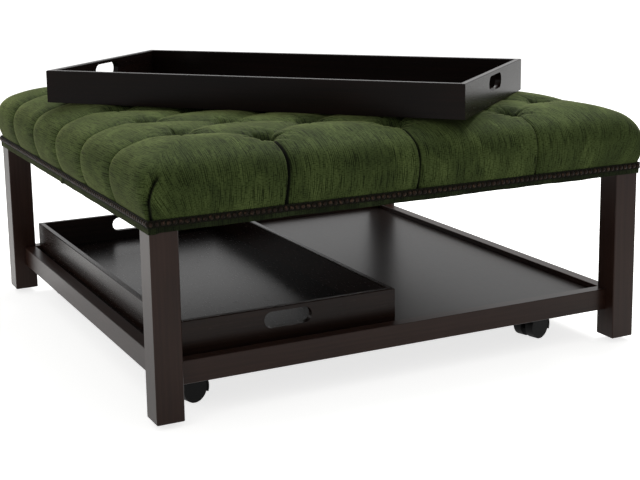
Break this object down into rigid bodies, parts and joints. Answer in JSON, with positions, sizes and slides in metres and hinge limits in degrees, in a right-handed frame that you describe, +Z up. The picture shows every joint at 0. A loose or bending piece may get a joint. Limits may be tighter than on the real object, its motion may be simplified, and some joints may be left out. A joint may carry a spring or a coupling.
{
  "type": "ottoman coffee table",
  "caption": "Square tufted ottoman on a wooden frame with a shelf, hidden casters and slotted trays that lift off.",
  "frame": {"origin": "on the floor under the middle of the table", "axes": "+X to the right and +Y to the back, seen from the front; +Z up"},
  "size_m": [1.026, 1.026, 0.5418],
  "materials": {
    "espresso_stained_wood": "satin espresso stain, close grain",
    "espresso_veneered_board": "semi-gloss espresso veneer",
    "dark_lacquered_wood": "semi-gloss near-black brown lacquer",
    "unfinished_softwood": "planed, unfinished",
    "plywood": "unfinished plywood",
    "upholstery_foam": "pale yellow foam",
    "black_dust_cloth": "thin black non-woven cloth",
    "green_chenille": "slubby olive-green chenille with a soft sheen",
    "dark_gimp_braid": "woven dark braid",
    "bronze_nailheads": "dark bronze, domed",
    "black_enamelled_steel": "black enamel",
    "black_moulded_nylon": "black moulded nylon, slightly shiny",
    "bright_steel": "bright steel pin",
    "black_wheel_nylon": "black nylon"
  },
  "bodies": {
    "table": {"leg_front_left": "espresso_stained_wood", "leg_front_right": "espresso_stained_wood", "leg_back_right": "espresso_stained_wood", "leg_back_left": "espresso_stained_wood", "shelf_rail_front": "espresso_stained_wood", "shelf_rail_right": "espresso_stained_wood", "shelf_rail_back": "espresso_stained_wood", "shelf_rail_left": "espresso_stained_wood", "top_rail_front": "unfinished_softwood", "top_rail_right": "unfinished_softwood", "top_rail_back": "unfinished_softwood", "top_rail_left": "unfinished_softwood", "shelf_panel": "espresso_veneered_board", "shelf_cleats": "espresso_stained_wood", "caster_blocks": "espresso_stained_wood", "top_corner_blocks": "unfinished_softwood", "deck_bearers": "unfinished_softwood", "deck_board": "plywood", "foam_slab": "upholstery_foam", "dust_cover": "black_dust_cloth", "tufted_cover": "green_chenille", "tuft_buttons": "green_chenille", "lower_band": "green_chenille", "braid": "dark_gimp_braid", "nail_trim": "bronze_nailheads", "caster_plates": "black_enamelled_steel", "caster_kingpins": "black_enamelled_steel"},
    "caster_front_left_swivel": {"caster_front_left_fork": "black_moulded_nylon", "caster_front_left_axle": "bright_steel"},
    "caster_front_left_wheel_near_body": {"caster_front_left_wheel_near": "black_wheel_nylon"},
    "caster_front_left_wheel_far_body": {"caster_front_left_wheel_far": "black_wheel_nylon"},
    "caster_front_right_swivel": {"caster_front_right_fork": "black_moulded_nylon", "caster_front_right_axle": "bright_steel"},
    "caster_front_right_wheel_near_body": {"caster_front_right_wheel_near": "black_wheel_nylon"},
    "caster_front_right_wheel_far_body": {"caster_front_right_wheel_far": "black_wheel_nylon"},
    "caster_back_right_swivel": {"caster_back_right_fork": "black_moulded_nylon", "caster_back_right_axle": "bright_steel"},
    "caster_back_right_wheel_near_body": {"caster_back_right_wheel_near": "black_wheel_nylon"},
    "caster_back_right_wheel_far_body": {"caster_back_right_wheel_far": "black_wheel_nylon"},
    "caster_back_left_swivel": {"caster_back_left_fork": "black_moulded_nylon", "caster_back_left_axle": "bright_steel"},
    "caster_back_left_wheel_near_body": {"caster_back_left_wheel_near": "black_wheel_nylon"},
    "caster_back_left_wheel_far_body": {"caster_back_left_wheel_far": "black_wheel_nylon"},
    "upper_tray": {"upper_tray_base": "dark_lacquered_wood", "upper_tray_side_near": "dark_lacquered_wood", "upper_tray_side_far": "dark_lacquered_wood", "upper_tray_end_right": "dark_lacquered_wood", "upper_tray_end_left": "dark_lacquered_wood"},
    "lower_tray": {"lower_tray_base": "dark_lacquered_wood", "lower_tray_side_near": "dark_lacquered_wood", "lower_tray_side_far": "dark_lacquered_wood", "lower_tray_end_right": "dark_lacquered_wood", "lower_tray_end_left": "dark_lacquered_wood"}
  },
  "joints": [
    {"name": "caster_front_left_swivel_turn", "type": "hinge", "parent": "table", "child": "caster_front_left_swivel", "pos_m": [-0.37, -0.37, 0.0435], "axis": [0, 0, 1], "continuous": true},
    {"name": "caster_front_left_wheel_near_spin", "type": "hinge", "parent": "caster_front_left_swivel", "child": "caster_front_left_wheel_near_body", "pos_m": [-0.39884, -0.37827, 0.025], "axis": [-0.2756, 0.9613, 0], "continuous": true},
    {"name": "caster_front_left_wheel_far_spin", "type": "hinge", "parent": "caster_front_left_swivel", "child": "caster_front_left_wheel_far_body", "pos_m": [-0.39884, -0.37827, 0.025], "axis": [-0.2756, 0.9613, 0], "continuous": true},
    {"name": "caster_front_right_swivel_turn", "type": "hinge", "parent": "table", "child": "caster_front_right_swivel", "pos_m": [0.37, -0.37, 0.0435], "axis": [0, 0, 1], "continuous": true},
    {"name": "caster_front_right_wheel_near_spin", "type": "hinge", "parent": "caster_front_right_swivel", "child": "caster_front_right_wheel_near_body", "pos_m": [0.34116, -0.37827, 0.025], "axis": [-0.2756, 0.9613, 0], "continuous": true},
    {"name": "caster_front_right_wheel_far_spin", "type": "hinge", "parent": "caster_front_right_swivel", "child": "caster_front_right_wheel_far_body", "pos_m": [0.34116, -0.37827, 0.025], "axis": [-0.2756, 0.9613, 0], "continuous": true},
    {"name": "caster_back_right_swivel_turn", "type": "hinge", "parent": "table", "child": "caster_back_right_swivel", "pos_m": [0.37, 0.37, 0.0435], "axis": [0, 0, 1], "continuous": true},
    {"name": "caster_back_right_wheel_near_spin", "type": "hinge", "parent": "caster_back_right_swivel", "child": "caster_back_right_wheel_near_body", "pos_m": [0.34116, 0.36173, 0.025], "axis": [-0.2756, 0.9613, 0], "continuous": true},
    {"name": "caster_back_right_wheel_far_spin", "type": "hinge", "parent": "caster_back_right_swivel", "child": "caster_back_right_wheel_far_body", "pos_m": [0.34116, 0.36173, 0.025], "axis": [-0.2756, 0.9613, 0], "continuous": true},
    {"name": "caster_back_left_swivel_turn", "type": "hinge", "parent": "table", "child": "caster_back_left_swivel", "pos_m": [-0.37, 0.37, 0.0435], "axis": [0, 0, 1], "continuous": true},
    {"name": "caster_back_left_wheel_near_spin", "type": "hinge", "parent": "caster_back_left_swivel", "child": "caster_back_left_wheel_near_body", "pos_m": [-0.39884, 0.36173, 0.025], "axis": [-0.2756, 0.9613, 0], "continuous": true},
    {"name": "caster_back_left_wheel_far_spin", "type": "hinge", "parent": "caster_back_left_swivel", "child": "caster_back_left_wheel_far_body", "pos_m": [-0.39884, 0.36173, 0.025], "axis": [-0.2756, 0.9613, 0], "continuous": true},
    {"name": "upper_tray_lift", "type": "slide", "parent": "table", "child": "upper_tray", "axis": [0, 0, 1], "range_m": [0, 0.3]},
    {"name": "lower_tray_lift", "type": "slide", "parent": "table", "child": "lower_tray", "axis": [0, 0, 1], "range_m": [0, 0.15]}
  ]
}
